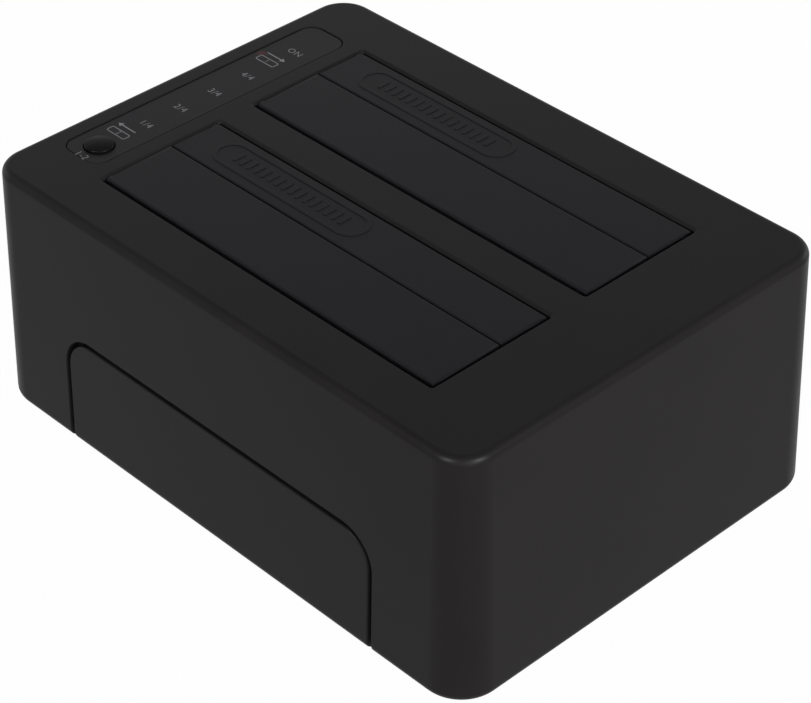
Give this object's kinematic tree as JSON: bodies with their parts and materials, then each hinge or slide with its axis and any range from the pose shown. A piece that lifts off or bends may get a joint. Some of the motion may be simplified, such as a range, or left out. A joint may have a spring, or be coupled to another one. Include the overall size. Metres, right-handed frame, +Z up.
{
  "type": "hard drive docking station",
  "caption": "Low black box with rounded corners; spring flaps in its top close the drive bays, and a label strip with a round button runs along one end.",
  "frame": {"origin": "centre of the footprint, on the surface that the rubber feet stand on", "axes": "+X along the long front face towards the end without the label strip, +Y from the front panel to the socket panel, +Z up"},
  "size_m": [0.1538, 0.1118, 0.0648],
  "materials": {
    "case_plastic": "fine moulded texture, black",
    "flap_plastic": "fine moulded texture, black",
    "inner_plastic": "plain moulded, black",
    "strip_film": "satin film, dark grey",
    "button_plastic": "smooth, black",
    "foot_rubber": "matt, black",
    "screw_steel": "black zinc",
    "rod_steel": "blackened",
    "spring_steel": "drawn",
    "board_laminate": "solder resist, green",
    "chip_epoxy": "moulded, black",
    "socket_plastic": "moulded, black",
    "contact_gold": "gold plated",
    "socket_steel": "tin plated",
    "usb_plastic": "moulded, blue",
    "jack_pin_metal": "nickel plated",
    "clear_plastic": "clear",
    "lamp_epoxy": "milky",
    "capacitor_can": "plain can",
    "ferrite": "sintered, dark grey",
    "cable_plastic": "white"
  },
  "bodies": {
    "case": {"top_shell": "case_plastic", "front_panel": "case_plastic", "rear_panel": "inner_plastic", "base_tray": "inner_plastic", "rubber_feet": "foot_rubber", "case_screws": "screw_steel", "board_screws": "screw_steel", "indicator_board_screws": "screw_steel", "well_screws": "screw_steel", "label_strip": "strip_film", "clone_switch": "socket_plastic", "light_guide": "clear_plastic", "indicator_lamps": "lamp_epoxy", "indicator_board": "board_laminate", "main_board": "board_laminate", "usb_shell": "socket_steel", "usb_core": "usb_plastic", "power_jack": "socket_plastic", "power_jack_pin": "jack_pin_metal", "power_switch": "socket_plastic", "flat_cable": "cable_plastic", "upper_cable_socket": "socket_plastic", "lower_cable_socket": "socket_plastic", "copy_controller": "chip_epoxy", "bridge_chips": "chip_epoxy", "capacitors": "capacitor_can", "inductors": "ferrite", "front_bay_well": "inner_plastic", "front_drive_socket": "socket_plastic", "front_drive_contacts": "contact_gold", "front_wide_flap_rod": "rod_steel", "front_wide_flap_springs": "spring_steel", "front_narrow_flap_rod": "rod_steel", "front_narrow_flap_springs": "spring_steel", "rear_bay_well": "inner_plastic", "rear_drive_socket": "socket_plastic", "rear_drive_contacts": "contact_gold", "rear_wide_flap_rod": "rod_steel", "rear_wide_flap_springs": "spring_steel", "rear_narrow_flap_rod": "rod_steel", "rear_narrow_flap_springs": "spring_steel"},
    "clone_button": {"clone_button": "button_plastic", "clone_switch_plunger": "button_plastic"},
    "power_button": {"power_button": "button_plastic"},
    "front_wide_flap": {"front_wide_flap": "flap_plastic"},
    "front_narrow_flap": {"front_narrow_flap": "flap_plastic"},
    "rear_wide_flap": {"rear_wide_flap": "flap_plastic"},
    "rear_narrow_flap": {"rear_narrow_flap": "flap_plastic"}
  },
  "joints": [
    {"name": "front_wide_flap_hinge", "type": "hinge", "parent": "case", "child": "front_wide_flap", "pos_m": [0, -0.038, 0.0625], "axis": [-1, 0, 0], "range_deg": [0, 90], "stiffness_Nm_per_rad": 0.0008, "springref_deg": -85.94, "deforming": ["front_wide_flap_springs"]},
    {"name": "front_narrow_flap_hinge", "type": "hinge", "parent": "case", "child": "front_narrow_flap", "pos_m": [0, -0.0079, 0.0625], "axis": [1, 0, 0], "range_deg": [0, 90], "stiffness_Nm_per_rad": 0.0008, "springref_deg": -85.94, "deforming": ["front_narrow_flap_springs"]},
    {"name": "rear_wide_flap_hinge", "type": "hinge", "parent": "case", "child": "rear_wide_flap", "pos_m": [0, 0.00635, 0.0625], "axis": [-1, 0, 0], "range_deg": [0, 90], "stiffness_Nm_per_rad": 0.0008, "springref_deg": -85.94, "deforming": ["rear_wide_flap_springs"]},
    {"name": "rear_narrow_flap_hinge", "type": "hinge", "parent": "case", "child": "rear_narrow_flap", "pos_m": [0, 0.03645, 0.0625], "axis": [1, 0, 0], "range_deg": [0, 90], "stiffness_Nm_per_rad": 0.0008, "springref_deg": -85.94, "deforming": ["rear_narrow_flap_springs"]},
    {"name": "clone_button_press", "type": "slide", "parent": "case", "child": "clone_button", "axis": [0, 0, -1], "range_m": [0, 0.0005], "stiffness_N_per_m": 600, "springref_m": -0.0005},
    {"name": "power_button_press", "type": "slide", "parent": "case", "child": "power_button", "axis": [0, -1, 0], "range_m": [0, 0.002], "stiffness_N_per_m": 500, "springref_m": -0.001}
  ]
}
